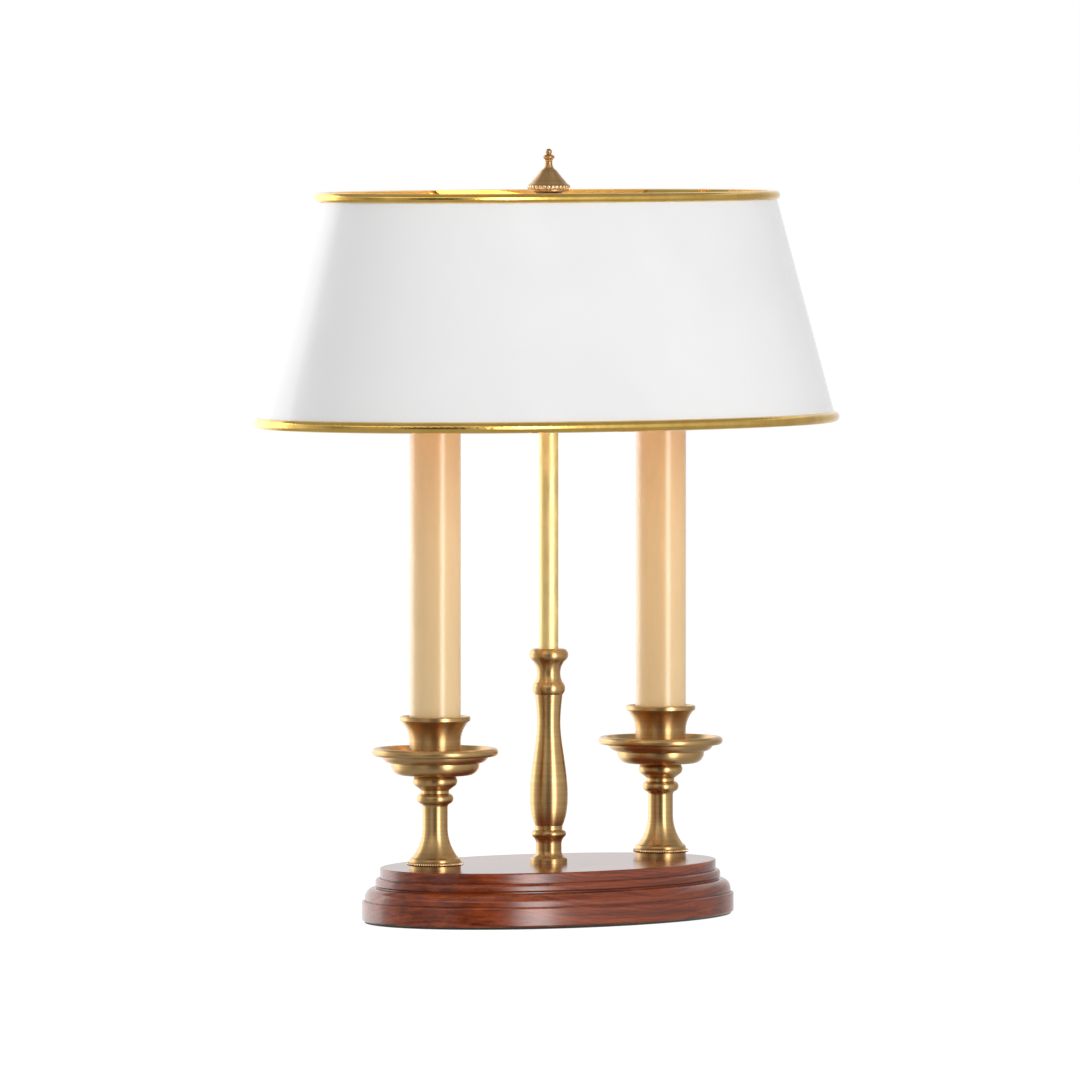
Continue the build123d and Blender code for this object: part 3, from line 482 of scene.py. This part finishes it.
# the floor's own glow, its colour that takes the lamp's shadow, and its colour to bounced light
FLOOR_SEEN = 0.90
FLOOR_SHADED = 0.25
FLOOR_BOUNCE = 0.75
FLOOR_REACH = 30.0
FLOOR_DROP = 0.0002

AMBIENT = 0.56
LEFT_POWER = 20.0
RIGHT_POWER = 24.0


def camera():
    aim = TO_RIGHT * -AIM_LEFT + Vector((0.0, 0.0, AIM_HEIGHT))
    place = aim + TOWARD_CAMERA * CAMERA_DISTANCE
    place.z = CAMERA_HEIGHT
    data = bpy.data.cameras.new("camera")
    data.lens = LENS
    data.sensor_width = SENSOR
    data.clip_start = 0.1
    data.clip_end = 100.0
    made = bpy.data.objects.new("camera", data)
    made.location = place
    made.rotation_euler = (aim - place).to_track_quat("-Z", "Y").to_euler()
    bpy.context.scene.collection.objects.link(made)
    bpy.context.scene.camera = made


def floor():
    """Floor that is white to the camera and keeps the lamp's shadow; metal mirrors the world."""
    mesh = bpy.data.meshes.new("floor")
    corners = [(x * FLOOR_REACH, y * FLOOR_REACH, 0) for x, y in ((-1, -1), (1, -1), (1, 1), (-1, 1))]
    mesh.from_pydata(corners, [], [(0, 1, 2, 3)])
    made = bpy.data.objects.new("floor", mesh)
    made.location.z = -FLOOR_DROP
    made.visible_glossy = False
    bpy.context.scene.collection.objects.link(made)
    material, t = new_tree("floor")
    shown = t.shown(t.node("LightPath").outputs)
    matt = t.node("BsdfDiffuse")
    matt.inputs["Color"].default_value = rgba(FLOOR_BOUNCE)
    pale = t.node("BsdfDiffuse")
    pale.inputs["Color"].default_value = rgba(FLOOR_SHADED)
    glow = t.node("Emission")
    glow.inputs["Color"].default_value = rgba(1.0)
    glow.inputs["Strength"].default_value = FLOOR_SEEN
    bright = t.node("AddShader")
    t.link(pale.outputs[0], bright.inputs[0])
    t.link(glow.outputs[0], bright.inputs[1])
    choose = t.node("MixShader")
    t.link(shown, choose.inputs[0])
    t.link(matt.outputs[0], choose.inputs[1])
    t.link(bright.outputs[0], choose.inputs[2])
    t.link(choose.outputs[0], t.node("OutputMaterial").inputs[0])
    mesh.materials.append(material)


# what polished metal mirrors, by degrees to the right of the camera: a bright strip light and
# its spill, a dim side, the sweep behind, a panel on the left, a dim wall and a dark flag in front
MIRRORED = (
    (0, 0.1), (10, 0.14), (20, 0.8), (27, 4.5), (32, 7.0), (38, 7.0), (45, 2.2), (53, 1.1),
    (68, 0.82), (92, 0.65), (112, 0.5), (135, 0.5), (180, 1.0), (210, 1.8), (236, 2.6), (247, 2.7),
    (255, 1.6), (264, 1.0), (280, 0.65), (304, 0.3), (322, 0.5), (338, 0.5), (348, 0.15), (360, 0.1),
)
# the same from 25 to 30 degrees up, where the strip light has ended and a soft light hangs in front
MIRRORED_ABOVE = (
    (0, 1.6), (26, 1.1), (48, 0.9), (70, 0.55), (105, 0.5), (130, 0.9), (180, 0.9), (208, 1.4),
    (236, 2.6), (246, 2.6), (254, 1.5), (264, 0.8), (290, 0.7), (312, 1.4), (336, 1.9), (360, 1.6),
)
MIRROR_SCALE = 7.0  # a ramp's colours go up to 1
# what it mirrors overhead and below, and the sines of the elevations where the zones blend
CEILING = 0.4
TABLE = 0.45
STRIP_END = (0.36, 0.43)
CEILING_START = (0.5, 0.58)
TABLE_END = (-0.55, -0.25)


def world():
    """Even soft light; reflections see the studio's panels and flags instead."""
    made = bpy.data.worlds.new("studio")
    bpy.context.scene.world = made
    t = Tree(made)
    rays = t.node("LightPath").outputs
    direction = t.node("TexCoord").outputs["Generated"]
    up = t.split(direction)[2]
    radial = t.node("TexGradient", gradient_type="RADIAL")
    t.link(direction, radial.inputs[0])
    front = 0.5 - (90.0 - math.degrees(VIEW_AZIMUTH)) / 360.0  # the gradient's value at the camera
    around = t.maths("FRACT", t.maths("SUBTRACT", radial.outputs[1], front - 1.0))

    def panels(levels):
        """What is mirrored at this angle from the camera."""
        level = t.ramp(around, *((turn / 360.0, value / MIRROR_SCALE) for turn, value in levels))
        return t.maths("MULTIPLY", level, MIRROR_SCALE)

    studio = t.mix(t.span(up, *STRIP_END), panels(MIRRORED), panels(MIRRORED_ABOVE))
    studio = t.mix(t.span(up, *CEILING_START), studio, CEILING)
    studio = t.mix(t.span(up, *TABLE_END, 1.0, 0.0), studio, TABLE)
    seen = t.mix(rays["Is Glossy Ray"], 1.0, studio)
    ambient = t.node("Background")
    ambient.inputs["Color"].default_value = rgba(1.0)
    ambient.inputs["Strength"].default_value = AMBIENT
    visible = t.node("Background")
    t.link(seen, visible.inputs["Color"])
    choose = t.node("MixShader")
    t.link(t.shown(rays), choose.inputs[0])
    t.link(ambient.outputs[0], choose.inputs[1])
    t.link(visible.outputs[0], choose.inputs[2])
    t.link(choose.outputs[0], t.node("OutputWorld").inputs[0])


def softbox(name, turn, height, distance, size, power):
    """Area lamp at an angle to the right of the camera; metal mirrors the world's panels instead."""
    angle = math.radians(turn)
    data = bpy.data.lights.new(name, "AREA")
    data.shape = "RECTANGLE"
    data.size, data.size_y = size
    data.energy = power
    made = bpy.data.objects.new(name, data)
    bearing = TOWARD_CAMERA * math.cos(angle) + TO_RIGHT * math.sin(angle)
    made.location = bearing * distance + Vector((0.0, 0.0, height))
    aim = Vector((0.0, 0.0, AIM_HEIGHT))
    made.rotation_euler = (aim - made.location).to_track_quat("-Z", "Y").to_euler()
    made.visible_glossy = False
    bpy.context.scene.collection.objects.link(made)


camera()
floor()
world()
softbox("softbox_left", turn=-105.0, height=0.9, distance=2.2, size=(0.7, 1.6), power=LEFT_POWER)
softbox("softbox_right", turn=42.0, height=0.9, distance=2.4, size=(0.5, 1.6), power=RIGHT_POWER)
bpy.context.scene.view_settings.view_transform = "Standard"
